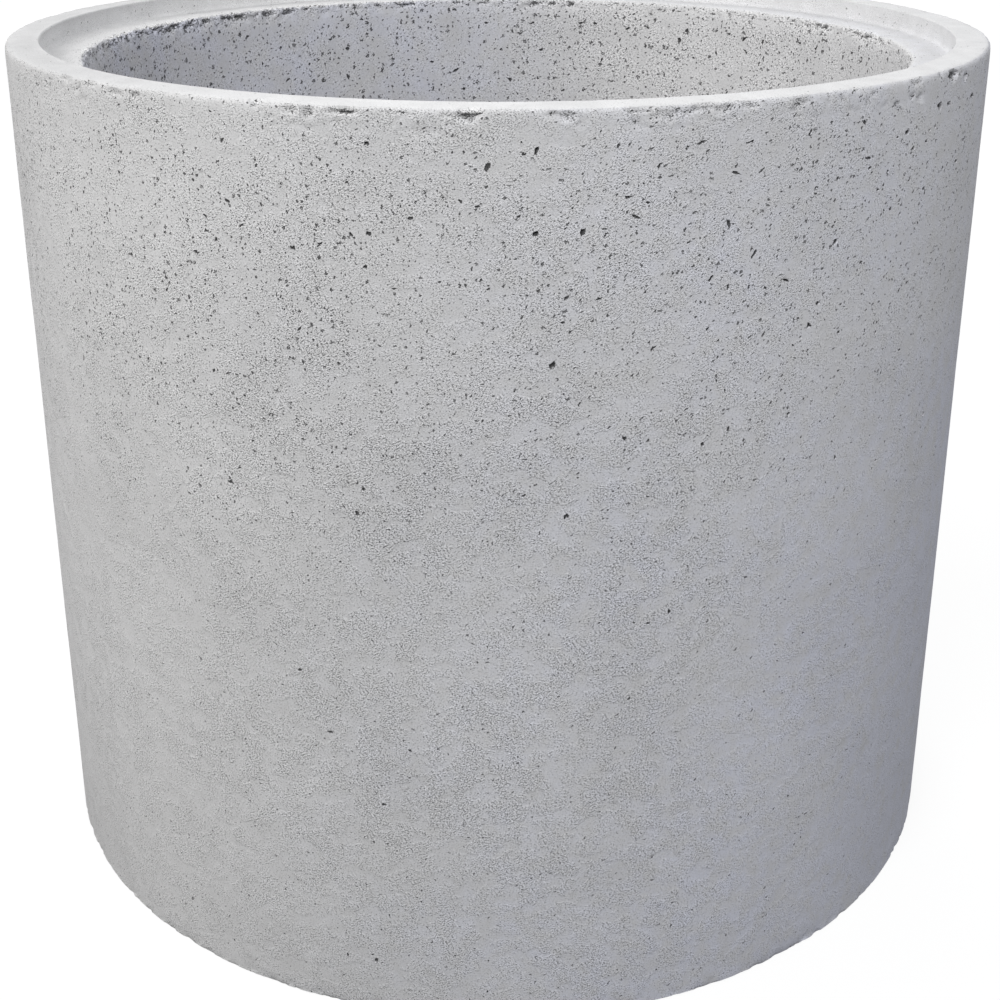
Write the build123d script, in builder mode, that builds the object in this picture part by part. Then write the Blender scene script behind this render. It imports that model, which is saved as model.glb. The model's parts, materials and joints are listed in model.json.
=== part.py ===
# Manhole ring with base: a concrete cylinder cast in one piece with its floor.
# Its rim is rebated, with a raised outer lip round a lower ledge, so that the next
# ring or a cover slab drops in and seats on the ledge.
# Millimetres. +Z is up, and the origin is the centre of the underside.
import os

from build123d import *

# Shell
bore_radius = 500.0  # inside of the chamber, a nominal 1000 mm bore
wall_thickness = 90.0
height = 1020.0  # from the underside to the top of the lip
base_thickness = 120.0

# Rebated rim
lip_width = 40.0  # flat top of the raised lip, arrises included
socket_depth = 25.0  # from the top of the lip down to the ledge

# Rounded corners and coves
lip_outer_arris = 5.0
socket_cove = 5.0  # hollow corner between the socket wall and the ledge
bore_arris = 6.0
floor_cove = 40.0  # hollow corner between the chamber wall and the floor

# Small bevels that the mould leaves
lip_inner_bevel = 1.5
foot_bevel = 2.0

level_tolerance = 0.01  # how near an edge has to be to a level to count as lying at it

outer_radius = bore_radius + wall_thickness
socket_radius = outer_radius - lip_width
ledge_level = height - socket_depth


def circles_at(part, level):
    """The round edges of the part that lie at one level, from the smallest to the largest."""
    rings = part.edges().filter_by(GeomType.CIRCLE)
    lowest, highest = level - level_tolerance, level + level_tolerance
    return rings.filter_by_position(Axis.Z, lowest, highest).sort_by(SortBy.RADIUS)


with BuildPart() as manhole_ring:
    # Half of the upright section, turned round the axis
    with BuildSketch(Plane.XZ):
        with BuildLine():
            Polyline(
                (0, 0),
                (outer_radius, 0),
                (outer_radius, height),
                (socket_radius, height),
                (socket_radius, ledge_level),
                (bore_radius, ledge_level),
                (bore_radius, base_thickness),
                (0, base_thickness),
                close=True,
            )
        make_face()
    revolve(axis=Axis.Z)

    # Hollow corners first, then the rounded arrises and the small bevels
    fillet(circles_at(manhole_ring, base_thickness)[-1], floor_cove)
    fillet(circles_at(manhole_ring, ledge_level)[-1], socket_cove)
    fillet(circles_at(manhole_ring, ledge_level)[0], bore_arris)
    fillet(circles_at(manhole_ring, height)[-1], lip_outer_arris)
    chamfer(circles_at(manhole_ring, height)[0], lip_inner_bevel)
    chamfer(circles_at(manhole_ring, 0)[-1], foot_bevel)

manhole_ring.part.label = "manhole_ring"

os.makedirs("parts", exist_ok=True)
export_step(manhole_ring.part, "parts/manhole_ring.step")
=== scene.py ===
# Manhole ring with base, cast in grey concrete: its looks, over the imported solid.
# Metres, +Z up, the ring stands on z = 0. An azimuth is measured from the front of the
# ring, the side that faces -Y, and grows towards +X.
import json
import math

import bpy
import numpy as np
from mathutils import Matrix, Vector


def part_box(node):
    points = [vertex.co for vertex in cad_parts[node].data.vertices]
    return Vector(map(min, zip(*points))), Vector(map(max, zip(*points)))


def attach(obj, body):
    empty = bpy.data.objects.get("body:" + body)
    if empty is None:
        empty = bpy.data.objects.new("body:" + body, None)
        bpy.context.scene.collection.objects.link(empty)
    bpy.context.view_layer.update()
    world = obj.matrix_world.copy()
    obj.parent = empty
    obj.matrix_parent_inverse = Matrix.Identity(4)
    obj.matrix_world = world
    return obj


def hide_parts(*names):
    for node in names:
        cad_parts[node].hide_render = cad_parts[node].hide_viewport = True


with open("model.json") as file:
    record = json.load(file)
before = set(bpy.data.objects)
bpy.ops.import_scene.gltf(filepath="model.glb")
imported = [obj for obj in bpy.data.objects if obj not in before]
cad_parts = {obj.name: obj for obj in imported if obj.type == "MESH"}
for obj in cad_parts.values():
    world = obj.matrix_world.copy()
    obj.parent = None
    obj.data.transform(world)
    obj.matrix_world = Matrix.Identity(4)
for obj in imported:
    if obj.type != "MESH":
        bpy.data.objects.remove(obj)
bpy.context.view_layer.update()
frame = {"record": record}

mounts = {mount["name"]: mount for mount in frame["record"]["mounts"]}
nodeLow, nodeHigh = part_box("manhole_ring")
outerRadius = (nodeHigh[1] - nodeLow[1]) / 2
topLevel = mounts["lip_top"]["pos_m"][2]
ledgeLevel = mounts["seat_ledge"]["pos_m"][2]
socketRadius = mounts["socket"]["dims"]["r_mm"] / 1000
boreRadius = mounts["chamber_bore"]["dims"]["r_mm"] / 1000

# Camera

photoView = {
    "distance": 2.007,  # from the ring's axis to the lens
    "aboveRim": 0.2533,  # lens above the top of the lip
    "pitch": 20.57,  # degrees down
    "focal": 1582.3,  # in pixels of the 1000-pixel frame
    "centreX": 497.6,  # where the lens looks, in the same pixels
    "centreY": 400.0,
    "frameSize": 1000.0,
    "sensor": 36.0,
}


def addObject(name, data):
    # An object in the scene, at the origin
    holder = bpy.data.objects.new(name, data)
    bpy.context.scene.collection.objects.link(holder)
    return holder


def makeCamera(view):
    # The photo's camera: the lens is focal / frame * sensor, and the shifts move its centre
    camera = bpy.data.cameras.new("photo_camera")
    camera.sensor_width = view["sensor"]
    camera.lens = view["focal"] / view["frameSize"] * view["sensor"]
    camera.shift_x = 0.5 - view["centreX"] / view["frameSize"]
    camera.shift_y = view["centreY"] / view["frameSize"] - 0.5
    camera.clip_start = 0.05
    holder = addObject("photo_camera", camera)
    holder.location = (0, -view["distance"], topLevel + view["aboveRim"])
    holder.rotation_euler = (math.radians(90 - view["pitch"]), 0, 0)
    bpy.context.scene.camera = holder


def wallPoint(pixelX, pixelY, radius, farSide=False):
    # Where the line of sight through a pixel of the photo meets a round wall: the point is
    # lens + t * direction, and t is a root of the quadratic for that circle.
    # Gives the azimuth in radians and the height.
    view = photoView
    across = (np.asarray(pixelX, float) - view["centreX"]) / view["focal"]
    upward = (view["centreY"] - np.asarray(pixelY, float)) / view["focal"]
    pitch = math.radians(view["pitch"])
    alongY = math.cos(pitch) + upward * math.sin(pitch)
    alongZ = upward * math.cos(pitch) - math.sin(pitch)
    a = across**2 + alongY**2
    b = -view["distance"] * alongY
    c = view["distance"] ** 2 - radius**2
    root = np.sqrt(np.maximum(b**2 - a * c, 0))
    t = (-b + root) / a if farSide else (-b - root) / a
    x, y = across * t, alongY * t - view["distance"]
    return np.arctan2(x, -y), topLevel + view["aboveRim"] + alongZ * t


makeCamera(photoView)
print("camera set")

# Noise

noiseSeeds = {  # one for each pattern
    "wave": 3, "ripple": 4, "rag": 11, "fineRag": 12, "worn": 13, "crowd": 21, "smallCrowd": 22,
    "foot": 31, "broadFoot": 32, "edgeWorn": 41, "turned": 42, "cloud": 43, "smallCloud": 44,
    "tint": 45, "rimCloud": 46,
}


def cornerValues(i, j, k, seed):
    # A fixed random number from 0 to 1 for each whole-number corner of a lattice
    mixed = (i * 73856093) ^ (j * 19349663) ^ (k * 83492791) ^ (seed * 2654435761)
    mixed = (mixed ^ (mixed >> 13)) & 0xFFFFFFFF
    mixed = (mixed * 1274126177) & 0xFFFFFFFF
    mixed = (mixed ^ (mixed >> 16)) & 0xFFFFFFFF
    mixed = (mixed * 668265263) & 0xFFFFFFFF
    return ((mixed >> 8) & 0xFFFF) / 65535.0


def smoothNoise(points, cell, pattern):
    # Value noise: the corners of the lattice cell round each point are blended with the
    # weight 3t^2 - 2t^3 along each axis. Runs from 0 to 1 about a middle of 0.5.
    scaled = points / cell
    base = np.floor(scaled).astype(np.int64)
    t = scaled - base
    t = t * t * (3 - 2 * t)
    total = np.zeros(len(points))
    for corner in range(8):
        step = np.array([corner & 1, corner >> 1 & 1, corner >> 2])
        weight = np.where(step, t, 1 - t).prod(axis=1)
        total += weight * cornerValues(*(base + step).T, noiseSeeds[pattern])
    return total


def smoothStep(low, high, values):
    # 0 below low, 1 above high and 3t^2 - 2t^3 between them
    t = np.clip((values - low) / (high - low), 0, 1)
    return t * t * (3 - 2 * t)


def bell(values, width):
    # 1 at zero and exp(-(x / width)^2) away from it
    return np.exp(-((values / width) ** 2))


def turnBetween(azimuth, middle):
    # The signed angle from one azimuth to the others, the short way round
    return (azimuth - middle + math.pi) % (2 * math.pi) - math.pi


def ringPoints(azimuth, radius, height):
    # (radius * sin, -radius * cos, height)
    return np.stack([radius * np.sin(azimuth), -radius * np.cos(azimuth), height], axis=1)


# The ring's section

ringForm = {  # the roundings and the floor are the solid's own
    "columns": 256,  # round the plain walls
    "seatColumns": 512,  # round the lip, the socket and the ledge
    "edgeColumns": 1024,  # round the two edges that are chipped, and the foot
    "lipArris": 0.005,
    "lipBevel": 0.0015,
    "socketCove": 0.005,
    "boreArris": 0.006,
    "floorCove": 0.040,
    "floorLevel": 0.120,
    "footBevel": 0.002,
    "undersideRows": (0.25, 0.45),
    "footIn": 0.014,  # how far in from the wall the fine rows of the foot begin
    "footRows": (0.006, 0.010, 0.016),
    "wallFrom": 0.028,
    "lipFine": 0.024,  # how far below the lip, and below the bore's edge, fine rows reach
    "boreFine": 0.023,
    "coarseFrom": 0.030,  # how far below either edge the coarse rows of its wall begin
    "strip": 0.010,  # of flat rim beside each edge that belongs to its fine rows
    "join": 0.003,  # from the last row of a band to the first of the next
    "wallRows": 61,
    "boreRows": 46,
    "hubRadius": 0.06,  # last row of points round the middle of the floor and of the underside
    "normalBlur": 0.006,  # how far the push direction of a corner is blended along the section
}


def straight(start, end, steps):
    # Points from start towards end in equal steps, the end left out
    t = np.arange(steps)[:, None] / steps
    return np.asarray(start) + (np.asarray(end) - np.asarray(start)) * t


def arc(centre, radius, fromDegrees, toDegrees, steps):
    # centre + radius * (cos, sin) in equal steps of angle, the end left out
    angle = np.radians(fromDegrees + (toDegrees - fromDegrees) * np.arange(steps) / steps)
    return np.asarray(centre) + radius * np.stack([np.cos(angle), np.sin(angle)], axis=1)


def sectionBands(form):
    # The half section as (radius, height) points, from the middle of the underside out, up,
    # over the rim, down the chamber and in along its floor, in bands of equal column count
    arris, bevel, foot = form["lipArris"], form["lipBevel"], form["footBevel"]
    cove, bore = form["socketCove"], form["boreArris"]
    floorCove, floor = form["floorCove"], form["floorLevel"]
    outer, inner, socket = outerRadius, boreRadius, socketRadius
    strip, join, low, rows = form["strip"], form["join"], form["coarseFrom"], form["wallRows"]
    under = (form["hubRadius"], *form["undersideRows"], outer - form["footIn"])
    underside = np.array([(radius, 0) for radius in under])
    footEdge = np.array([
        (outer - foot - join, 0), (outer - foot, 0), (outer, foot),
        *((outer, level) for level in form["footRows"]),
    ])
    wall = np.linspace((outer, form["wallFrom"]), (outer, topLevel - low), rows)
    outerEdge = np.vstack([
        straight((outer, topLevel - form["lipFine"]), (outer, topLevel - arris), 8),
        arc((outer - arris, topLevel - arris), arris, 0, 90, 4),
        straight((outer - arris, topLevel), (outer - arris - strip, topLevel), 2),
    ])
    seat = np.vstack([
        straight((outer - arris - strip - join, topLevel), (socket + bevel, topLevel), 2),
        straight((socket + bevel, topLevel), (socket, topLevel - bevel), 1),
        straight((socket, topLevel - bevel), (socket, ledgeLevel + cove), 2),
        arc((socket - cove, ledgeLevel + cove), cove, 0, -90, 4),
        straight((socket - cove, ledgeLevel), (inner + bore + strip, ledgeLevel), 3),
    ])
    boreEdge = np.vstack([
        straight((inner + bore + strip - join, ledgeLevel), (inner + bore, ledgeLevel), 2),
        arc((inner + bore, ledgeLevel - bore), bore, 90, 180, 4),
        straight((inner, ledgeLevel - bore), (inner, ledgeLevel - form["boreFine"]), 5),
    ])
    chamber = np.vstack([
        straight((inner, ledgeLevel - low), (inner, floor + floorCove), form["boreRows"]),
        arc((inner - floorCove, floor + floorCove), floorCove, 0, -90, 5),
        straight((inner - floorCove, floor), (form["hubRadius"], floor), 5),
        [(form["hubRadius"], floor)],
    ])
    plain, many = form["columns"], form["edgeColumns"]
    bands = [
        ("underside", plain, underside, 0), ("foot", many, footEdge, 0), ("wall", plain, wall, rows - 1),
        ("outer_edge", many, outerEdge, 0), ("seat", form["seatColumns"], seat, 0),
        ("bore_edge", many, boreEdge, 0), ("chamber", plain, chamber, form["boreRows"] - 1),
    ]
    return [dict(zip(("name", "columns", "points", "pitRows"), band)) for band in bands]


def measureSection(section, blur):
    # The distance of each point along the section, and its outward direction: the normals of
    # the lines near it, weighted by a bell curve, so that a deep chip at a corner doesn't fold
    run = np.diff(section, axis=0)
    along = np.concatenate([[0], np.cumsum(np.linalg.norm(run, axis=1))])
    middle = (along[1:] + along[:-1]) / 2
    normal = np.stack([run[:, 1], -run[:, 0]], axis=1)
    blended = bell(along[:, None] - middle[None, :], blur) @ normal
    return along, blended / np.linalg.norm(blended, axis=1, keepdims=True)


def alongAt(section, along, radius, height):
    # The distance along the section of its point nearest to a place
    return along[np.argmin(np.hypot(section[:, 0] - radius, section[:, 1] - height))]


# Where the concrete is pitted, chipped and worn

# Pores that stand out in the photo: pixel x and y, length and breadth in millimetres, slant in
# degrees above the level, counted anticlockwise as seen from outside
wallPores = [
    (484, 165, 13, 6, 60), (368, 134, 8, 6, 20), (221, 140, 7, 5, 30), (537, 145, 14, 6, 65),
    (525, 155, 8, 4, 20), (941, 103, 14, 13, 0), (951, 103, 10, 10, 0), (972, 96, 17, 9, 0),
    (703, 136, 16, 5, 20), (752, 146, 12, 4, 15), (812, 131, 12, 4, 55), (624, 146, 10, 4, 60),
    (628, 193, 11, 5, 10), (652, 203, 7, 5, 0), (636, 217, 12, 5, -10), (536, 232, 9, 9, 45),
    (519, 216, 9, 4, 30), (583, 233, 10, 9, 60), (656, 171, 13, 4, 50), (737, 172, 12, 4, -20),
    (762, 166, 14, 4, 30), (835, 180, 8, 5, 60), (869, 160, 14, 5, -10), (729, 220, 12, 5, -60),
    (690, 240, 8, 5, 40), (757, 247, 14, 5, 55), (371, 234, 9, 7, -40), (404, 218, 10, 5, 0),
    (318, 244, 8, 4, 20), (291, 252, 9, 6, 0), (196, 253, 8, 7, 10), (131, 257, 6, 5, 30),
    (66, 244, 13, 4, 90), (241, 226, 10, 4, 30), (216, 239, 7, 6, 60), (361, 267, 8, 5, 0),
    (392, 289, 7, 4, 10), (180, 268, 6, 4, 60), (254, 270, 7, 4, 10), (484, 291, 10, 4, 25),
    (465, 202, 9, 4, -20), (748, 288, 8, 4, 80), (865, 200, 8, 4, -10), (900, 214, 7, 4, 60),
    (917, 226, 6, 5, 45), (787, 275, 13, 6, -25), (861, 260, 7, 5, 10), (708, 283, 9, 6, 60),
    (729, 283, 8, 5, 80), (767, 293, 9, 4, -30), (566, 296, 8, 5, 40),
    (602, 299, 9, 4, 10), (195, 381, 8, 4, -55), (213, 367, 7, 5, 80), (840, 332, 10, 5, 0),
    (898, 350, 8, 5, 20), (790, 350, 8, 4, -30), (876, 332, 6, 5, 0), (953, 318, 6, 4, 60),
    (625, 438, 10, 7, -50), (788, 414, 7, 6, 0), (772, 402, 8, 5, 30), (727, 430, 8, 5, 70),
    (567, 514, 8, 7, 40), (667, 617, 10, 5, 80), (746, 575, 7, 5, 20), (833, 456, 9, 4, 90),
    (410, 750, 5, 4, 0), (629, 703, 12, 4, 50), (621, 717, 8, 3, 30), (300, 670, 6, 5, 20),
    (914, 153, 11, 7, 0), (909, 132, 10, 7, 10), (936, 127, 7, 6, 90), (925, 142, 10, 6, 0),
    (956, 166, 12, 6, 0), (943, 172, 10, 6, 0), (888, 172, 8, 6, 45), (870, 168, 6, 5, 50),
    (878, 190, 6, 5, 0), (910, 180, 8, 6, 60), (926, 188, 9, 6, 0), (865, 120, 8, 7, 60),
    (964, 137, 12, 6, 0), (898, 137, 6, 5, -40),
]

# The same on the far wall of the chamber
borePores = [
    (350, 48, 8, 8, 0), (348, 25, 12, 5, 30), (280, 48, 10, 6, 20), (212, 56, 5, 5, 0),
    (288, 77, 14, 6, 35), (349, 78, 14, 6, -60), (435, 63, 8, 6, 0), (456, 70, 13, 6, 30),
    (466, 89, 7, 6, 0), (498, 52, 8, 5, 30), (486, 8, 13, 5, 0), (248, 36, 12, 6, 0),
    (194, 50, 8, 5, -40), (308, 62, 8, 5, 60), (330, 12, 10, 5, -20), (520, 5, 10, 5, 0),
    (533, 23, 12, 5, 15), (594, 20, 9, 6, 0), (627, 30, 12, 5, 30), (679, 40, 9, 9, 20),
    (687, 28, 12, 7, 50), (744, 42, 14, 5, 40), (745, 52, 12, 5, -40),
    (693, 58, 8, 4, 0), (648, 18, 14, 4, -15), (816, 46, 14, 5, 60), (797, 22, 8, 4, -60),
    (729, 34, 7, 5, 0), (760, 55, 6, 5, 0), (792, 70, 8, 5, 30), (666, 55, 6, 5, 0),
    (620, 40, 7, 5, 30), (584, 66, 8, 5, 40), (644, 87, 6, 5, 0), (513, 80, 9, 7, 0),
    (561, 90, 8, 5, 20), (600, 60, 8, 5, 60), (853, 28, 7, 4, 0), (869, 56, 6, 4, 30),
]

# Spalls below the outer edge of the lip: pixel x and y, then in millimetres the width, how far
# it reaches up and down the wall, and its depth
lipChips = [
    (64, 76, 36, 4, 2.5), (88, 82, 30, 4, 2.5), (114, 91, 26, 4, 2.0), (134, 94, 16, 5, 3.0),
    (256, 98, 22, 7, 3.5), (290, 107, 20, 6, 3.0), (306, 110, 18, 7, 3.5), (340, 108, 28, 6, 3.0),
    (344, 109, 17, 5, 6.0), (394, 108, 26, 5, 2.0), (468, 112, 20, 10, 5.0), (478, 110, 12, 7, 5.0),
    (553, 113, 12, 4, 3.0), (567, 115, 18, 6, 3.0), (640, 109, 30, 4, 3.0), (650, 106, 14, 5, 3.0),
    (706, 105, 30, 6, 3.0), (724, 107, 24, 5, 3.0), (752, 102, 22, 5, 3.0), (858, 87, 8, 5, 3.0),
    (955, 73, 26, 9, 6.0), (966, 75, 12, 6, 3.5), (943, 72, 8, 5, 3.0), (918, 79, 24, 6, 2.0),
    (913, 95, 9, 3, 3.2), (921, 96, 7, 3, 3.2), (897, 103, 8, 3, 3.5),
]

# Slow stains in the photo: pixel x and y, radius in millimetres, and how much lighter or darker
wallStains = [
    (120, 520, 42, -0.055), (405, 470, 45, -0.04), (403, 540, 26, -0.045), (402, 785, 34, -0.05),
    (612, 868, 50, -0.04), (220, 600, 40, -0.03), (860, 380, 40, -0.035), (24, 190, 60, -0.07),
    (205, 470, 60, 0.035), (490, 705, 80, 0.03), (780, 730, 80, 0.03), (240, 135, 50, 0.04),
    (312, 788, 9, 0.10), (300, 795, 6, 0.09), (310, 950, 9, 0.10), (326, 886, 6, 0.08),
]

ringWear = {
    "seed": 27,
    "waveDepth": 0.0007,  # slow hollows over the walls
    "waveCell": 0.16,
    "rippleDepth": 0.0004,
    "rippleCell": 0.045,
    "unseenChips": 36,  # spalls round the part of the lip that the photo doesn't show
    "unseenSide": (75, 285),  # degrees, from and to
    "chipBelow": (0.003, 0.010),  # how far below the top such a spall lies, least and most
    "chipWidth": (0.010, 0.034),
    "chipReach": (0.004, 0.009),
    "chipDepth": (0.002, 0.005),
    # the next three: depth, how far past the edge the middle lies, and reach
    "softEdge": (0.0009, 0.0, 0.006),  # slow wear of the outer edge
    "edgeDents": (0.0024, -0.012, 0.011),  # small dents below it
    "boreRag": (0.0130, 0.003, 0.0075),  # the broken edge of the bore
    "ragLeft": 0.003,  # how much further that reaches on the left
    "ragCell": 0.0075,
    "footRag": 0.0040,
    "darkFrom": (0.0015, 0.0045),  # depth of wear at which painted shade starts and ends to darken its colour
    "darkerFrom": (0.0045, 0.0060),  # the same for the painted shade that darkens the deepest spalls further
    "brokenFrom": (0.0006, 0.0025),  # and for what makes the surface rough, and below the lip darker with painted shade
    "wallPits": 700,
    "chamberPits": 420,
    "markedPits": (0.9, 0.72),  # share of a marked length and breadth that a pore is given
    "pitLengths": (3, 16),  # millimetres, from and to
    "pitBreadths": (0.35, 0.75),  # as shares of the length
    "pitDepth": 0.85,  # depth of a pore, as a share of its breadth
    "chamberScale": 0.65,  # below 1 the material's patterns are larger inside than outside
}


def poreShare(azimuth, height, chamber):
    # How pitted the concrete is, from 0 to 1: dense towards the top of the wall and thin
    # towards the foot, with less on the right, close below the lip and low down on both
    # flanks. The chamber is pitted all over.
    level, side, front = height / topLevel, np.sin(azimuth), np.cos(azimuth) > 0
    upper = 0.15 + 0.85 * smoothStep(0.42, 0.93, level)
    flank = smoothStep(0.35, 1.0, np.abs(side)) * (1 - smoothStep(0.42, 0.8, level))
    wall = upper * (1 - np.where(front, 0.58 + 0.16 * side, 0.35) * flank)
    wall *= 1 - 0.35 * smoothStep(0.3, 0.7, side) * front * (1 - smoothStep(0.6, 0.9, level))
    wall *= 1 - 0.46 * smoothStep(-0.5, 0.1, side) * front
    wall *= 1 - 0.5 * bell(height - topLevel, 0.055)
    inside = 0.5 + 0.5 * smoothStep(0.35, 0.8, level)
    return np.where(chamber, inside, wall)


def grainShare(azimuth, height, chamber):
    # How strong the fine grain is: strongest half way up and in front, weaker on the right of
    # the wall and on the left of the chamber
    level, side = height / topLevel, np.sin(azimuth)
    rows = 0.92 + 0.18 * smoothStep(0.05, 0.30, level) - 0.20 * smoothStep(0.68, 0.88, level)
    rightSide = smoothStep(0.15, 0.65, side) * (np.cos(azimuth) > -0.2)
    wall = rows * (1.0 + 0.10 * bell(azimuth, 0.45) - 0.30 * rightSide)
    return np.where(chamber, 0.60 + 0.40 * smoothStep(-0.3, 0.5, side), wall)


def crowding(points):
    # Pores crowd together in patches with smoother skin between: two sizes of value noise
    patches = 0.5 * smoothNoise(points, 0.060, "crowd") + 0.5 * smoothNoise(points, 0.032, "smallCrowd")
    return smoothStep(0.34, 0.60, patches)


def slowRelief(points, wear):
    # How far the cast face falls back from the true cylinder: two sizes of value noise
    wave = smoothNoise(points, wear["waveCell"], "wave") * wear["waveDepth"]
    return wave + smoothNoise(points, wear["rippleCell"], "ripple") * wear["rippleDepth"]


def chipList(wear, rng):
    # Azimuth, height, width, reach and depth of every spall, in metres and radians: those in
    # the photo first, then random ones where the photo doesn't see the lip
    chips = []
    for x, y, width, reach, depth in lipChips:
        azimuth, height = wallPoint(x, y, outerRadius)
        chips.append((azimuth, height, width / 1000, reach / 1000, depth / 1000))
    for azimuth in np.radians(rng.uniform(*wear["unseenSide"], wear["unseenChips"])):
        height = topLevel - rng.uniform(*wear["chipBelow"])
        sizes = [rng.uniform(*wear[key]) for key in ("chipWidth", "chipReach", "chipDepth")]
        chips.append((azimuth, height, *sizes))
    return chips


def leftShare(azimuth):
    # The stretch of the bore's edge that is broken most, at the back on the left
    return bell(turnBetween(azimuth, math.radians(-115)), 1.0)


def edgeWear(azimuth, along, points, marks, wear, rng):
    # Depth of wear over the rim. Spall: d * smoothstep(1 - (2x/w)^2 - (s/r)^2 + noise).
    # Dents: noise above a threshold under the outer edge. Bore: noise under a bell curve.
    lipAt, boreAt = marks["lip"], marks["bore"]
    fine = smoothNoise(points, wear["ragCell"], "rag")
    finer = smoothNoise(points, wear["ragCell"] * 0.5, "fineRag")
    coarse = smoothNoise(points, 0.05, "worn")
    rough = 0.55 * fine + 0.45 * finer
    deep, middle, reach = wear["softEdge"]
    depth = deep * bell(along - lipAt - middle, reach) * (fine + coarse)
    deep, middle, reach = wear["edgeDents"]
    dents = smoothStep(0.56, 0.74, rough) * smoothStep(0.42, 0.62, coarse)
    depth += deep * dents * bell(along - lipAt - middle, reach)
    leftSide = leftShare(azimuth)
    broken = np.maximum(0.30 + 0.85 * leftSide, 0.3 + 0.7 * smoothStep(0.5, 0.75, coarse))
    rag = np.maximum(rough - 0.36, 0) / 0.64
    deep, middle, reach = wear["boreRag"]
    reach = reach + wear["ragLeft"] * leftSide
    depth += deep * broken * rag * bell(along - boreAt - middle, reach)
    spalled = np.zeros(len(along))
    for middle, height, width, reach, deep in chipList(wear, rng):
        across = turnBetween(azimuth, middle) * outerRadius
        down = along - lipAt + (topLevel - height)
        dome = 1 - (2 * across / width) ** 2 - (down / reach) ** 2 + 1.6 * (rough - 0.5)
        dome[np.abs(across) > width] = 0
        spalled = np.maximum(spalled, deep * smoothStep(0, 0.7, dome))
    return depth + spalled


# Building the mesh

def growSkin(skin, **values):
    # Adds points to the skin's columns and gives their numbers in the shape of the azimuths
    shape = np.shape(values["azimuth"])
    first, size = len(skin["azimuth"]), int(np.prod(shape))
    for key in skin:
        added = np.broadcast_to(np.asarray(values.get(key, 0.0), float), shape).ravel()
        skin[key] = np.concatenate([skin[key], added])
    return first + np.arange(size).reshape(shape)


def layBands(bands, along, push):
    # A grid of points for each band: every section point carried round the axis
    keys = ("azimuth", "radius", "height", "pushR", "pushZ", "along", "zone", "sunk", "pit", "broken")
    skin = {key: np.zeros(0) for key in keys}
    row = 0
    for number, band in enumerate(bands):
        rows, columns = len(band["points"]), band["columns"]
        turn = 2 * math.pi * np.arange(columns) / columns - math.pi
        span = slice(row, row + rows)
        band["grid"] = growSkin(
            skin, azimuth=np.tile(turn, (rows, 1)), radius=band["points"][:, :1],
            height=band["points"][:, 1:], pushR=push[span, :1], pushZ=push[span, 1:],
            along=along[span, None], zone=number,
        )
        row += rows
    return skin


def patchLoop(rows, columns):
    # Row and column steps of the corners round a patch of cells, one way round
    bottom = [(0, j) for j in range(columns)]
    right = [(i, columns) for i in range(rows)]
    top = [(rows, columns - j) for j in range(columns)]
    left = [(rows - i, 0) for i in range(rows)]
    return np.array(bottom + right + top + left)


def wishedPores(band, radius, rng, wear):
    # Azimuth, height, length, breadth and slant of each pore that is wanted: those marked in
    # the photo, then random ones that fall where the concrete is pitted
    chamber = band["name"] == "chamber"
    long, broad = wear["markedPits"]
    pores = []
    for x, y, length, breadth, slant in borePores if chamber else wallPores:
        azimuth, height = wallPoint(x, y, radius, farSide=chamber)
        pores.append((float(azimuth), float(height), length * long, breadth * broad, slant))
    heights = band["points"][: band["pitRows"] + 1, 1]
    wanted = wear["chamberPits"] if chamber else wear["wallPits"]
    tries = wanted * 8
    azimuth = rng.uniform(-math.pi, math.pi, tries)
    height = rng.uniform(heights.min(), heights.max(), tries)
    crowd = crowding(ringPoints(azimuth, radius, height))
    share = poreShare(azimuth, height, chamber) * (0.2 + 0.8 * crowd)
    chosen = np.flatnonzero(rng.uniform(0, 1.4, tries) < share)[:wanted]
    length = np.clip(rng.lognormal(1.75 if chamber else 1.42, 0.42, tries), *wear["pitLengths"])
    breadth = length * rng.uniform(*wear["pitBreadths"], tries)
    slanted = np.where(np.sin(azimuth) > -0.1, rng.normal(32, 24, tries), rng.uniform(-90, 90, tries))
    for k in chosen:
        pores.append((azimuth[k], height[k], length[k], breadth[k], slanted[k]))
    return pores


def seatPores(band, radius, pores):
    # Gives each pore the one to four free cells that it lies in, and leaves out a pore whose
    # cells are taken. Groups them by the patch's rows and columns.
    rows, columns = band["pitRows"], band["columns"]
    heights = band["points"][: rows + 1, 1]
    cellHigh, cellWide = abs(heights[1] - heights[0]), 2 * math.pi * radius / columns
    free = np.ones((rows, columns), bool)
    groups = {(1, 1): [], (1, 2): [], (2, 1): [], (2, 2): []}
    for azimuth, height, length, breadth, slant in pores:
        tilt = math.radians(slant)
        wide = math.hypot(length * math.cos(tilt), breadth * math.sin(tilt)) / 1000
        high = math.hypot(length * math.sin(tilt), breadth * math.cos(tilt)) / 1000
        spanWide = 1 if wide < cellWide * 0.7 else 2
        spanHigh = 1 if high < cellHigh * 0.7 else 2
        column = math.floor((azimuth + math.pi) / (2 * math.pi) * columns - (spanWide - 1) / 2) % columns
        row = math.floor(abs(height - heights[0]) / cellHigh - (spanHigh - 1) / 2)
        row = min(max(row, 0), rows - spanHigh)
        patch = np.ix_(range(row, row + spanHigh), [(column + c) % columns for c in range(spanWide)])
        if free[patch].all():
            free[patch] = False
            groups[spanHigh, spanWide].append((row, column, azimuth, height, length, breadth, slant))
    return free, groups


def keepInside(values, room):
    # How far a pore's middle, at 0, has to move to lie well inside the corners of its patch
    low, high = values.min(axis=1), values.max(axis=1)
    margin = np.clip(room, 0.2 * (high - low), 0.4 * (high - low))
    return np.clip(0, low + margin, high - margin)[:, None]


def beside(corners):
    # The two places a quarter of the way from each corner to the corners next to it
    places = [0.75 * corners + 0.25 * np.roll(corners, step, 1) for step in (1, -1)]
    return np.stack(places, 2).reshape(len(corners), -1)


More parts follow.
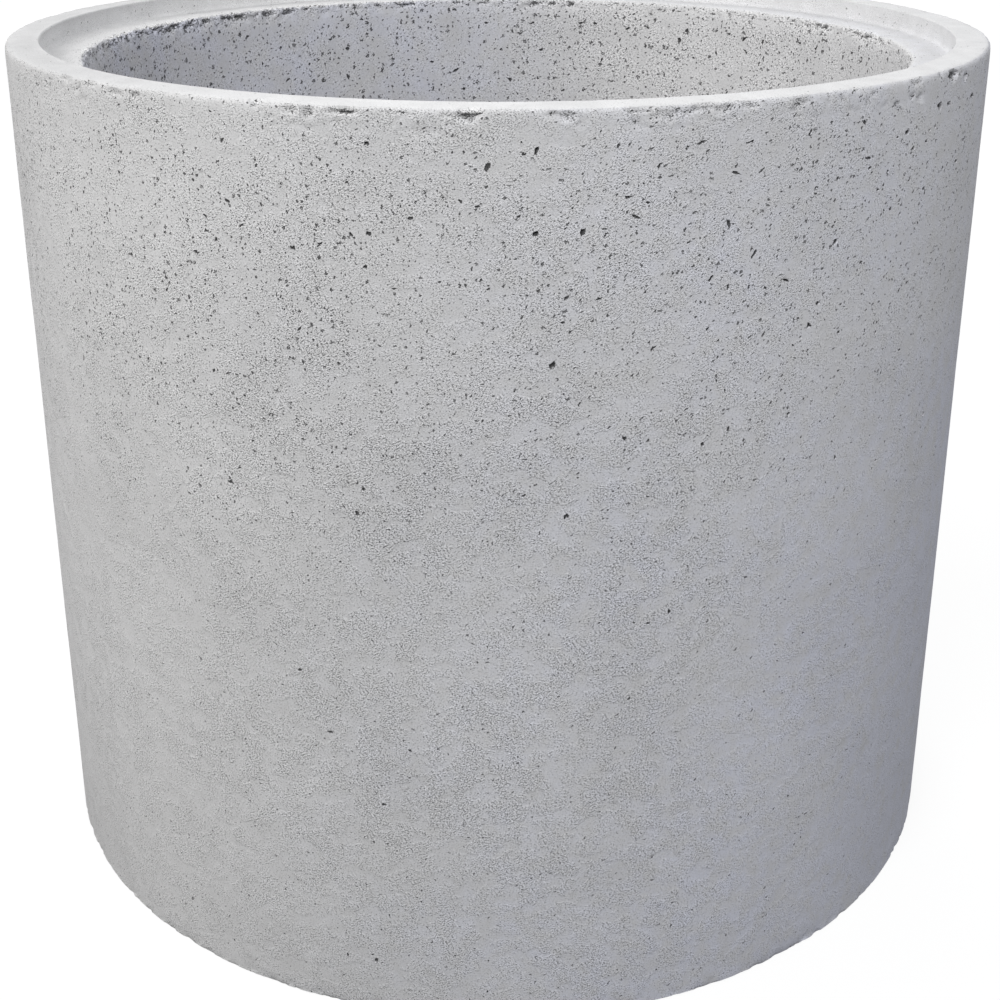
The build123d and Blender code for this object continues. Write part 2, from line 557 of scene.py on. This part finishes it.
def ribbon(first, second):
    # The faces between two closed rows of points
    return np.stack([first, np.roll(first, -1, 1), np.roll(second, -1, 1), second], 2)


def sinkPores(skin, faces, band, spans, pores, radius, rng, wear):
    # Each pore: the corners of its patch, an irregular lip, one or two rings of its floor and
    # a middle point. The lip is the ellipse 1 / sqrt((cos/a)^2 + (sin/b)^2) with random radii.
    row, column, turn, level, length, breadth, slant = np.array(pores).T
    loop = patchLoop(*spans)
    gridRow = row.astype(int)[:, None] + loop[:, 0]
    gridColumn = (column.astype(int)[:, None] + loop[:, 1]) % band["columns"]
    corner = band["grid"][gridRow, gridColumn]
    x = turnBetween(skin["azimuth"][corner], turn[:, None]) * radius
    y = skin["height"][corner] - level[:, None]
    shiftX, shiftY = keepInside(x, 0.0006 * length), keepInside(y, 0.0006 * length)
    x, y = x - shiftX, y - shiftY
    rayX, rayY = beside(x), beside(y)
    way = np.arctan2(rayY, rayX)
    seenFromInside = -1 if band["name"] == "chamber" else 1
    tilt = np.radians(slant)[:, None] * seenFromInside
    halfLong, halfBroad = length[:, None] / 2000, breadth[:, None] / 2000
    lip = 1 / np.hypot(np.cos(way - tilt) / halfLong, np.sin(way - tilt) / halfBroad)
    lip = np.minimum(lip * rng.uniform(0.55, 1.4, lip.shape), 0.86 * np.hypot(rayX, rayY))
    deep = breadth[:, None] / 1000 * wear["pitDepth"] * rng.uniform(0.6, 1.0, (len(row), 1))
    # for each ring, the share of the lip's size and of the depth, and how much painted shade darkens it
    steps = [(1.0, 0.0, 0.15), (0.72, 0.8, 0.85)]
    if spans != (1, 1):
        steps = [(1.0, 0.0, 0.15), (0.84, 0.6, 0.7), (0.5, 0.95, 1.0)]
    start = band["grid"][0, 0]

    def addPoints(across, up, **values):
        newLevel = level[:, None] + up
        along = skin["along"][start] + np.abs(newLevel - skin["height"][start])
        return growSkin(
            skin, azimuth=turn[:, None] + across / radius, height=newLevel, along=along, radius=radius,
            pushR=seenFromInside, zone=skin["zone"][start], **values,
        )

    rings = []
    for scale, sink, pit in steps:
        reach = lip * scale * (1 if sink == 0 else rng.uniform(0.85, 1.12, lip.shape))
        newX, newY = np.cos(way) * reach, np.sin(way) * reach + sink * halfBroad * 0.25
        uneven = 1 if sink == 0 else rng.uniform(0.8, 1.15, lip.shape)
        rings.append(addPoints(shiftX + newX, shiftY + newY, sunk=deep * sink * uneven, pit=pit))
    middle = addPoints(shiftX, shiftY + halfBroad * 0.25, sunk=deep, pit=1.0)
    before, after = rings[0][:, 0::2], rings[0][:, 1::2]
    faces.append(np.stack([corner, after, before], 2))
    faces.append(np.stack([corner, np.roll(corner, -1, 1), np.roll(before, -1, 1), after], 2))
    for outer, inner in zip(rings, rings[1:]):
        faces.append(ribbon(outer, inner))
    spread = np.repeat(middle, rings[-1].shape[1], 1)
    faces.append(np.stack([rings[-1], np.roll(rings[-1], -1, 1), spread], 2))


def joinBands(faces, lower, upper):
    # One face for each cell of the coarser band, with all the corners that meet its edge
    ratio = max(lower["columns"], upper["columns"]) // min(lower["columns"], upper["columns"])
    last, first = lower["grid"][-1], upper["grid"][0]
    if lower["columns"] < upper["columns"]:
        far = [np.roll(first, -k)[::ratio] for k in range(ratio, -1, -1)]
        faces.append(np.stack([last, np.roll(last, -1), *far], 1))
    else:
        near = [np.roll(last, -k)[::ratio] for k in range(ratio + 1)]
        faces.append(np.stack([*near, np.roll(first, -1), first], 1))


def closePole(skin, faces, grid, down):
    # A fan of triangles to a point on the axis
    pole = growSkin(skin, azimuth=np.zeros(1), height=skin["height"][grid[0]],
                    zone=skin["zone"][grid[0]], along=skin["along"][grid[0]])
    following = np.roll(grid, -1)
    middle = np.repeat(pole, len(grid))
    faces.append(np.stack([following, grid, middle] if down else [grid, following, middle], 1))


def unroll(skin, bands, block, chamberScale):
    # A flat coordinate for each corner of each face: the way round times the wall's radius and
    # the distance along the section, or plain x and y on the floor and the underside
    names = [band["name"] for band in bands]
    zone = skin["zone"][block[:, 0]]
    inside = (zone >= names.index("bore_edge"))[:, None]
    radius = np.where(inside, boreRadius, outerRadius)
    first = skin["azimuth"][block[:, :1]]
    across = (first + turnBetween(skin["azimuth"][block], first)) * radius
    upward = skin["along"][block]
    level = skin["height"][block].max(axis=1) - 1e-4
    flat = (level < 0) | ((zone == names.index("chamber")) & (level < ringForm["floorLevel"]))
    x = skin["radius"][block] * np.sin(skin["azimuth"][block])
    y = skin["radius"][block] * np.cos(skin["azimuth"][block])
    across, upward = np.where(flat[:, None], x + 5, across), np.where(flat[:, None], y + 5, upward)
    scale = np.where(inside, chamberScale, 1.0)
    return np.stack([across * scale, upward * scale, np.zeros_like(across)], axis=2).reshape(-1, 3)


ringTone = {  # how much lighter or darker each makes the colour
    "clouds": 0.05,
    "rimClouds": 0.07,
    "top": 0.045,
    # painted shade at the foot, near the floor
    "foot": -0.035,
    # painted shade on the left of the lip and socket wall, painted light on the ledge there
    "rimLeft": -0.13,
    # painted shade in the chips below the lip
    "broken": -0.12,
    # painted shade inside the chamber, most on its left
    "inside": -0.14,
}


def surfaceMasks(skin, bands, marks, points, tones):
    # The values that the material reads: where it is pitted, pale, slanted and blue, its tone from
    # stains and painted shade, and the painted shade of pits and worn edges
    names = [band["name"] for band in bands]
    chamber = skin["zone"] == names.index("chamber")
    onRim = (skin["zone"] >= names.index("outer_edge")) & ~chamber
    azimuth, height, along = skin["azimuth"], skin["height"], skin["along"]
    level, side, left = height / topLevel, np.sin(azimuth), leftShare(azimuth)
    fromLip, fromBore = along - marks["lip"], along - marks["bore"]
    # pale: the rim's paler skin, partly painted light from above
    pale = smoothStep(-0.001, 0.005, fromLip) * (1 - smoothStep(-0.003, 0.002, fromBore)) * onRim
    seat, ledge = smoothStep(0.030, 0.055, fromLip), smoothStep(0.045, 0.075, fromLip)
    inside = chamber | (fromBore > 0)
    share, crowd = poreShare(azimuth, height, inside), crowding(points)
    pitted = share * (0.62 + 0.38 * crowd) * (1 - pale * (0.97 - 0.17 * seat))
    atBore = bell(fromBore - 0.002, 0.008 + 0.004 * left) * (0.35 + 0.65 * left)
    worn = onRim * np.maximum(0.45 * bell(fromLip + 0.010, 0.008), atBore)
    worn *= 0.2 + 0.8 * smoothStep(0.35, 0.65, smoothNoise(points, 0.03, "edgeWorn"))
    worn = np.maximum(worn, skin["broken"])
    pitted = np.maximum(pitted, worn)
    coarse = grainShare(azimuth, height, inside) * (0.80 + 0.34 * crowd)
    coarse *= 1 - 0.72 * pale * (1 - 0.4 * seat)
    coarse = np.maximum(coarse, 1.7 * worn)
    deepIn = chamber | (fromBore > -0.004)
    front = np.cos(azimuth) > -0.2
    turned = smoothStep(-0.35, 0.25, side) * front + ~front * smoothNoise(points, 0.3, "turned")
    turned = np.where(chamber, 0.25, turned)

    # tone: clouds, lighter towards the top, painted shade at the foot, painted shade on the left of
    # the lip and socket wall with painted light on the ledge there, painted shade in what is broken
    # below the lip and inside the chamber, and the stains
    clouds = smoothNoise(points, 0.22, "cloud") + smoothNoise(points, 0.06, "smallCloud") - 1
    rimClouds = (smoothNoise(points, 0.02, "rimCloud") - 0.5) * pale
    top = smoothStep(0.55, 0.95, level) * (1 - smoothStep(0.4, 0.85, -side) * ~deepIn) * ~chamber
    tone = 1 + tones["clouds"] * clouds + tones["rimClouds"] * rimClouds + tones["top"] * top
    # painted shade at the foot, near the floor
    tone += tones["foot"] * (1 - smoothStep(0.0, 0.35, level)) * ~chamber
    # painted shade on the left of the lip and socket wall, turning to painted light on the ledge there
    tone += tones["rimLeft"] * smoothStep(0.2, 0.9, -side) * pale * (1 - 1.4 * seat)
    # painted shade in the chips below the lip
    tone += tones["broken"] * skin["broken"] * (fromLip < 0)
    # painted shade inside the chamber, most on its left, the side turned from the light
    tone += tones["inside"] * (1 - smoothStep(-0.2, 0.9, side)) * deepIn
    for x, y, radius, strength in wallStains:
        middle, centre = wallPoint(x, y, outerRadius)
        away = np.hypot(turnBetween(azimuth, middle) * outerRadius, height - centre)
        tone += strength * bell(away, radius / 1000) * (skin["radius"] > outerRadius - 0.03)

    # tint: bluer to the right and low down there, and on the left of the chamber
    cool = smoothStep(-0.7, 0.6, side) * (0.70 - 0.38 * level)
    cool += 0.45 * smoothStep(0.5, 0.85, side) * (1 - smoothStep(0.3, 0.8, level))
    cool = np.where(deepIn, 0.52 * smoothStep(-0.45, 0.35, -side), cool)
    cool = np.clip(cool * (0.55 + 0.9 * smoothNoise(points, 0.11, "tint")), 0, 1)
    return {
        "pitted": pitted, "coarse": coarse, "pale": pale * (1 - 0.5 * ledge), "slanted": turned,
        "tone": tone, "cool": cool, "pit": skin["pit"],
    }


def wearSkin(skin, bands, marks, wear, rng):
    # Wear pushes every point back along its direction, into the concrete
    names = [band["name"] for band in bands]
    zone, height = skin["zone"], skin["height"]
    points = ringPoints(skin["azimuth"], skin["radius"], height)
    depth = skin["sunk"] + slowRelief(points, wear)
    rim = np.flatnonzero((zone >= names.index("outer_edge")) & (zone <= names.index("bore_edge")))
    rimDepth = edgeWear(skin["azimuth"][rim], skin["along"][rim], points[rim], marks, wear, rng)
    depth[rim] += rimDepth
    atBore = skin["along"][rim] > marks["bore"] - 0.015
    # painted shade in the worn rim and its spalls, darker where the wear is deeper
    pit = np.where(atBore, 0.60, 0.38) * smoothStep(*wear["darkFrom"], rimDepth)
    skin["pit"][rim] = pit + 0.3 * smoothStep(*wear["darkerFrom"], rimDepth) * ~atBore
    skin["broken"][rim] = smoothStep(*wear["brokenFrom"], rimDepth)
    foot = zone == names.index("foot")
    rag = 0.5 * smoothNoise(points, 0.007, "foot") + 0.5 * smoothNoise(points, 0.022, "broadFoot")
    rag = np.maximum(rag - 0.45, 0) / 0.55 * (1 - smoothStep(0.003, 0.015, height)) * foot
    depth += wear["footRag"] * rag
    # the underside stays flat and level, and the foot is worn straight inwards
    grounded = (zone == names.index("underside")) | (height < 1e-6)
    pushR = np.where(foot, 1.0, skin["pushR"])
    pushR = np.where(zone == names.index("underside"), 0.0, pushR)
    pushZ = np.where(foot | grounded, 0.0, skin["pushZ"])
    skin["radius"] = skin["radius"] - pushR * depth
    skin["height"] = height - pushZ * depth
    return ringPoints(skin["azimuth"], skin["radius"], skin["height"])


def makeMesh(name, points, blocks, corners, values):
    # Puts the arrays into a mesh. Blocks are index arrays, each with one corner count.
    mesh = bpy.data.meshes.new(name)
    sizes = np.concatenate([np.full(len(block), block.shape[1]) for block in blocks])
    loops = np.concatenate([block.ravel() for block in blocks])
    mesh.vertices.add(len(points))
    mesh.loops.add(len(loops))
    mesh.polygons.add(len(sizes))
    mesh.vertices.foreach_set("co", points.astype(np.float32).ravel())
    mesh.loops.foreach_set("vertex_index", loops.astype(np.int32))
    mesh.polygons.foreach_set("loop_start", (np.cumsum(sizes) - sizes).astype(np.int32))
    mesh.update(calc_edges=True)
    mesh.polygons.foreach_set("use_smooth", np.ones(len(sizes), bool))
    mesh.set_sharp_from_angle(angle=math.radians(40))
    for key, data in values.items():
        mesh.attributes.new(key, "FLOAT", "POINT").data.foreach_set("value", data.astype(np.float32))
    flat = mesh.attributes.new("unrolled", "FLOAT_VECTOR", "CORNER")
    flat.data.foreach_set("vector", corners.astype(np.float32).ravel())
    print(name, len(points), "points,", int((sizes - 2).sum()), "triangles")
    return mesh


def buildRing(form, wear, tones):
    # The bands of the section are carried round, pores are sunk into them, and the whole is
    # joined, closed at both poles and worn
    rng = np.random.default_rng(wear["seed"])
    bands = sectionBands(form)
    section = np.vstack([band["points"] for band in bands])
    along, push = measureSection(section, form["normalBlur"])
    marks = {
        "lip": alongAt(section, along, outerRadius, topLevel),
        "bore": alongAt(section, along, boreRadius, ledgeLevel),
    }
    skin = layBands(bands, along, push)
    faces = []
    for band in bands:
        free = np.ones((len(band["points"]) - 1, band["columns"]), bool)
        if band["pitRows"]:
            radius = boreRadius if band["name"] == "chamber" else outerRadius
            pores = wishedPores(band, radius, rng, wear)
            free[: band["pitRows"]], groups = seatPores(band, radius, pores)
            for spans, group in groups.items():
                if group:
                    sinkPores(skin, faces, band, spans, group, radius, rng, wear)
            print(band["name"], "pores:", sum(map(len, groups.values())))
        faces.append(ribbon(band["grid"][:-1], band["grid"][1:])[free])
    for lower, upper in zip(bands, bands[1:]):
        joinBands(faces, lower, upper)
    closePole(skin, faces, bands[0]["grid"][0], down=True)
    closePole(skin, faces, bands[-1]["grid"][-1], down=False)
    blocks = [face.reshape(-1, face.shape[-1]) for face in faces]
    corners = np.vstack([unroll(skin, bands, block, wear["chamberScale"]) for block in blocks])
    points = wearSkin(skin, bands, marks, wear, rng)
    values = surfaceMasks(skin, bands, marks, points, tones)
    return makeMesh("cast_concrete_ring", points, blocks, corners, values)


ring = addObject("cast_concrete_ring", buildRing(ringForm, ringWear, ringTone))
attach(ring, "root")
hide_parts("manhole_ring")

# Material

def feed(tree, socket, value):
    # A number or colour is set on the socket, and another node's socket is linked to it
    if isinstance(value, bpy.types.NodeSocket):
        tree.links.new(value, socket)
    else:
        socket.default_value = value


def addNode(tree, kind, inputs=(), **settings):
    # The settings come first, because some of them change which sockets a node has
    node = tree.nodes.new(kind)
    for key, value in settings.items():
        setattr(node, key, value)
    for key, value in dict(inputs).items():
        feed(tree, node.inputs[key], value)
    return node


def compute(tree, operation, first, second=0.0):
    return addNode(tree, "ShaderNodeMath", {0: first, 1: second}, operation=operation).outputs[0]


def multiply(tree, first, *others):
    # The product of all its values
    for value in others:
        first = compute(tree, "MULTIPLY", first, value)
    return first


def vectorCompute(tree, operation, sockets):
    return addNode(tree, "ShaderNodeVectorMath", sockets, operation=operation).outputs


def remap(tree, value, fromLow, fromHigh, toLow, toHigh, smooth=False):
    # From one range to another, held at its ends
    sockets = {"Value": value, "From Min": fromLow, "From Max": fromHigh, "To Min": toLow, "To Max": toHigh}
    kind = "SMOOTHSTEP" if smooth else "LINEAR"
    return addNode(tree, "ShaderNodeMapRange", sockets, interpolation_type=kind).outputs["Result"]


def stretch(tree, vector, degrees, length):
    # Coordinates on which a pattern lies along a slant and is drawn out that many times
    sockets = {"Vector": vector, "Rotation": (0, 0, math.radians(degrees)), "Scale": (length, 1, 1)}
    return addNode(tree, "ShaderNodeMapping", sockets, vector_type="TEXTURE").outputs[0]


def flatNoise(tree, vector, size, detail, roughness):
    # Noise on the unrolled surface. Size is that of its largest grains in metres.
    sockets = {"Vector": vector, "Scale": 1 / size, "Detail": detail, "Roughness": roughness}
    return addNode(tree, "ShaderNodeTexNoise", sockets, noise_dimensions="2D").outputs["Fac"]


def mixColours(tree, amount, first, second):
    sockets = {"Factor": amount, "A": first, "B": second}
    return addNode(tree, "ShaderNodeMix", sockets, data_type="RGBA").outputs["Result"]


def newMaterial(name):
    material = bpy.data.materials.new(name)
    material.use_nodes = True
    material.node_tree.nodes.clear()
    return material


def addSurface(tree, sockets):
    # A Principled surface with these inputs, shown by the material
    surface = addNode(tree, "ShaderNodeBsdfPrincipled", sockets)
    addNode(tree, "ShaderNodeOutputMaterial", {"Surface": surface.outputs[0]})


def makePitGroup():
    # Air pits: each cell of a Voronoi pattern may hold one. Its radius is smallest / u^0.4 for
    # a random u, so most are small, and it is an ellipse with a random slant, drawn out along
    # it. Noise frays its outline. The first output is painted shade, 0.7 to 1 in a pit, and
    # Sink is its depth in metres.
    group = bpy.data.node_groups.new("air_pits", "ShaderNodeTree")
    group.interface.new_socket("Vector", in_out="INPUT", socket_type="NodeSocketVector")
    for title in ("Cell", "Share", "Smallest", "Largest", "Slant", "Slanted", "Noise", "Ragged"):
        group.interface.new_socket(title, in_out="INPUT", socket_type="NodeSocketFloat")
    for title in ("Mask", "Sink"):
        group.interface.new_socket(title, in_out="OUTPUT", socket_type="NodeSocketFloat")
    given = addNode(group, "NodeGroupInput").outputs
    result = addNode(group, "NodeGroupOutput").inputs
    density = compute(group, "DIVIDE", 1.0, given["Cell"])
    cells = addNode(group, "ShaderNodeTexVoronoi", {"Vector": given["Vector"], "Scale": density},
                    voronoi_dimensions="2D", feature="F1").outputs
    random = addNode(group, "ShaderNodeSeparateColor", {0: cells["Color"]}).outputs
    absent = compute(group, "GREATER_THAN", random[0], given["Share"])
    radius = compute(group, "DIVIDE", given["Smallest"], compute(group, "POWER", random[1], 0.4))
    radius = compute(group, "MINIMUM", radius, given["Largest"])

    # slant: any when Slanted is 0, and near the given one when it is 1
    spread = remap(group, given["Slanted"], 0.0, 1.0, 180.0, 75.0)
    swing = multiply(group, compute(group, "SUBTRACT", random[2], 0.5), spread)
    degrees = compute(group, "ADD", given["Slant"], swing)
    angle = multiply(group, degrees, -math.pi / 180)
    offset = vectorCompute(group, "SUBTRACT", {0: given["Vector"], 1: cells["Position"]})[0]
    turned = addNode(group, "ShaderNodeVectorRotate", {"Vector": offset, "Angle": angle},
                     rotation_type="Z_AXIS").outputs[0]
    long = compute(group, "FRACT", multiply(group, random[1], 7.0))
    long = multiply(group, long, remap(group, given["Slanted"], 0.0, 1.0, 0.5, 1.6))
    narrow = compute(group, "DIVIDE", 1.0, compute(group, "ADD", long, 1.05))
    squeeze = addNode(group, "ShaderNodeCombineXYZ", {"X": narrow, "Y": 1.0}).outputs[0]
    squeezed = vectorCompute(group, "MULTIPLY", {0: turned, 1: squeeze})[0]
    distance = vectorCompute(group, "LENGTH", {0: squeezed})["Value"]

    frayed = multiply(group, compute(group, "SUBTRACT", given["Noise"], 0.5), given["Ragged"])
    ratio = compute(group, "ADD", compute(group, "DIVIDE", distance, radius), frayed)
    ratio = compute(group, "ADD", ratio, multiply(group, absent, 9.0))
    mask = remap(group, ratio, 0.7, 1.1, 1.0, 0.0, smooth=True)
    # painted shade: how dark a pit is painted, from 0.7 to 1
    shadeStrength = remap(group, random[2], 0.0, 1.0, 0.7, 1.0)
    feed(group, result["Mask"], multiply(group, mask, shadeStrength))
    bowl = remap(group, ratio, 0.2, 1.2, 1.0, 0.0, smooth=True)
    feed(group, result["Sink"], multiply(group, bowl, radius))
    return group


concreteLook = {
    "wallColour": (0.566, 0.562, 0.565),
    # the rim's paler cement skin, made paler still as painted light from above
    "coolColour": (0.542, 0.552, 0.620),
    "rimColour": (0.635, 0.633, 0.638),
    "pitColour": 0.17,  # painted shade: share of the colour that is left in a deep pit
    "roughness": 0.93,
    "specular": 0.2,
    "slant": 28.0,  # degrees: the grain and the gouges rise to the right
    "grainSize": 0.0015,
    "grainLong": 1.3,
    "grainDepth": 0.0010,
    "grainShade": 1.15,  # how much the grain lightens and darkens the colour: its own grain, and painted light and shade of its fine relief
    "grainLift": 0.10,  # grain lightens the skin as much as its specks darken it; its light flecks are painted highlights on lit edges
    "patchSize": 0.024,  # of the smooth islands between the grainy patches
    "islandGrain": 0.45,  # share of the grain that is left on the islands
    "mottleSize": 0.026,  # of the faint blotches in tone and tint
    "mottle": 0.08,
    "speckEdge": 0.355,  # below it the grain opens into specks, darkened with painted shade
    # how much painted shade darkens the specks
    "speckDark": 0.42,
    "speckDepth": 0.0004,
    "pitShare": 0.75,  # share of the cells with a pit where the concrete is fully pitted
    "pitReach": (0.0009, 0.0018),  # largest radius of a pit where few lie and where most do
}

pitLook = {  # metres and degrees
    "Cell": 0.0052,
    "Smallest": 0.00046,
    "Slant": 28.0,
    "Ragged": 3.5,
}


def makeConcrete(look, pits):
    # The masks of the mesh scale the relief and the colour of one cement skin
    material = newMaterial("cast_concrete")
    tree = material.node_tree
    read = {
        key: addNode(tree, "ShaderNodeAttribute", attribute_name=key).outputs["Fac"]
        for key in ("pitted", "coarse", "pale", "slanted", "tone", "cool", "pit")
    }
    flat = addNode(tree, "ShaderNodeAttribute", attribute_name="unrolled").outputs["Vector"]

    # relief: grain of the cement skin, the specks where it opens, and the air pits
    place = stretch(tree, flat, look["slant"], look["grainLong"])
    grain = flatNoise(tree, place, look["grainSize"], 1.0, 0.9)
    patch = flatNoise(tree, flat, look["patchSize"], 2.0, 0.6)
    patch = remap(tree, patch, 0.40, 0.50, look["islandGrain"], 1.10, smooth=True)
    coarse = multiply(tree, read["coarse"], patch)
    air = addNode(tree, "ShaderNodeGroup", {
        "Vector": flat, "Noise": grain, "Slanted": read["slanted"],
        "Share": multiply(tree, read["pitted"], look["pitShare"]),
        "Largest": remap(tree, read["pitted"], 0.2, 0.8, *look["pitReach"]), **pits,
    }, node_tree=makePitGroup()).outputs
    edge = remap(tree, coarse, 0.0, 2.0, look["speckEdge"] - 0.10, look["speckEdge"] + 0.10)
    speck = remap(tree, compute(tree, "SUBTRACT", grain, edge), -0.05, 0.0, 1.0, 0.0, smooth=True)
    height = multiply(tree, grain, look["grainDepth"], coarse)
    height = compute(tree, "SUBTRACT", height, multiply(tree, speck, look["speckDepth"]))
    height = compute(tree, "SUBTRACT", height, air["Sink"])
    bump = addNode(tree, "ShaderNodeBump", {"Strength": 1.0, "Distance": 1.0, "Height": height})

    # colour: grey that turns bluish to the right, a paler rim that is partly painted light, stains,
    # grain with painted light and shade of its relief, and painted shade in the pits
    mottle = flatNoise(tree, flat, look["mottleSize"], 3.0, 0.65)
    cool = multiply(tree, read["cool"], remap(tree, mottle, 0.3, 0.7, 0.5, 1.5))
    body = mixColours(tree, cool, (*look["wallColour"], 1), (*look["coolColour"], 1))
    body = mixColours(tree, read["pale"], body, (*look["rimColour"], 1))
    # the grain's colour: partly its own, partly painted light and shade standing in for the relief
    sway = remap(tree, grain, 0.0, 1.0, look["grainLift"] - look["grainShade"] / 2,
                 look["grainLift"] + look["grainShade"] / 2)
    grainAndReliefShade = compute(tree, "ADD", multiply(tree, sway, coarse), 1.0)
    # painted shade in the air pits, the specks, the sunk pores and the worn rim
    hollowShade = compute(tree, "MAXIMUM", air["Mask"], multiply(tree, speck, look["speckDark"]))
    raggedShade = compute(tree, "ADD", read["pit"], remap(tree, grain, 0.0, 1.0, 0.35, -0.35))
    hollowShade = compute(tree, "MAXIMUM", hollowShade, remap(tree, raggedShade, 0.22, 0.70, 0.0, 1.0, smooth=True))
    hollowShade = remap(tree, hollowShade, 0.0, 1.0, 1.0, look["pitColour"])
    blotch = remap(tree, mottle, 0.0, 1.0, 1 - look["mottle"], 1 + look["mottle"])
    shade = multiply(tree, grainAndReliefShade, hollowShade, read["tone"], blotch)
    addSurface(tree, {
        "Base Color": vectorCompute(tree, "SCALE", {0: body, "Scale": shade})[0],
        "Roughness": look["roughness"], "Specular IOR Level": look["specular"],
        "Normal": bump.outputs[0],
    })
    return material


ring.data.materials.append(makeConcrete(concreteLook, pitLook))
print("concrete made")

# Floor, backdrop and light

studio = {
    "floorSize": 40.0,
    "floorColour": (0.14, 0.14, 0.14),
    "floorGlow": 0.88,  # added to what the camera sees, so that the open floor is white
    "farGlow": 0.98,  # the same where the lamps no longer reach
    "fade": (3.0, 9.0),  # metres from the ring's axis, over which one turns into the other
    "skyLight": 0.30,
    "skyColour": (0.96, 0.98, 1.0),
}

# Soft round lamps on a circle about the ring: angles in degrees, power in watts. The light is
# even, a little stronger from the left than from the right.
lampRing = {"distance": 5.6, "elevation": 35, "height": 0.6, "size": 3.0}
lamps = {
    "left_light": {"azimuth": -90, "power": 134.0, "colour": (1.0, 0.99, 0.98)},
    "front_light": {"azimuth": -20, "power": 187.0, "colour": (1.0, 1.0, 0.99)},
    "right_light": {"azimuth": 62, "power": 86.0, "colour": (0.97, 0.98, 1.0)},
    "back_light": {"azimuth": 180, "power": 120.0, "colour": (1.0, 1.0, 1.0)},
}


def backdropRays(tree):
    # 1 for the rays that show the background: seen directly, in gloss or through glass
    seen = addNode(tree, "ShaderNodeLightPath").outputs
    shown = compute(tree, "MAXIMUM", seen["Is Camera Ray"], seen["Is Glossy Ray"])
    return compute(tree, "MAXIMUM", shown, seen["Is Transmission Ray"])


def makeFloor(settings):
    # A wide grey floor that glows up to white, but only where it is seen
    half = settings["floorSize"] / 2
    corners = [(-half, -half, 0), (half, -half, 0), (half, half, 0), (-half, half, 0)]
    mesh = bpy.data.meshes.new("studio_floor")
    mesh.from_pydata(corners, [], [(0, 1, 2, 3)])
    material = newMaterial("studio_floor")
    tree = material.node_tree
    place = addNode(tree, "ShaderNodeTexCoord").outputs["Object"]
    away = vectorCompute(tree, "LENGTH", {0: place})["Value"]
    glow = remap(tree, away, *settings["fade"], settings["floorGlow"], settings["farGlow"])
    addSurface(tree, {
        "Base Color": (*settings["floorColour"], 1), "Roughness": 1.0, "Specular IOR Level": 0.0,
        "Emission Color": (1, 1, 1, 1),
        "Emission Strength": multiply(tree, backdropRays(tree), glow),
    })
    mesh.materials.append(material)
    addObject("studio_floor", mesh)


def makeSky(settings):
    # White where it is seen, and a weak even light everywhere else
    world = bpy.data.worlds.new("studio_sky")
    bpy.context.scene.world = world
    world.use_nodes = True
    tree = world.node_tree
    light = tree.nodes["Background"]
    shown = backdropRays(tree)
    feed(tree, light.inputs["Color"], mixColours(tree, shown, (*settings["skyColour"], 1), (1, 1, 1, 1)))
    feed(tree, light.inputs["Strength"], remap(tree, shown, 0.0, 1.0, settings["skyLight"], 1.0))


def makeLamp(name, settings):
    # centre + distance * (cos e sin a, -cos e cos a, sin e), turned to face the centre
    lamp = bpy.data.lights.new(name, "AREA")
    lamp.shape = "DISK"
    lamp.size = lampRing["size"]
    lamp.energy = settings["power"]
    lamp.color = settings["colour"]
    azimuth, elevation = math.radians(settings["azimuth"]), math.radians(lampRing["elevation"])
    level = Vector((math.sin(azimuth), -math.cos(azimuth), 0)) * math.cos(elevation)
    away = level + Vector((0, 0, math.sin(elevation)))
    holder = addObject(name, lamp)
    holder.location = Vector((0, 0, lampRing["height"])) + away * lampRing["distance"]
    holder.rotation_euler = (-away).to_track_quat("-Z", "Y").to_euler()


makeFloor(studio)
makeSky(studio)
for lampName, lampSettings in lamps.items():
    makeLamp(lampName, lampSettings)
bpy.context.scene.view_settings.view_transform = "Standard"
print("studio set")
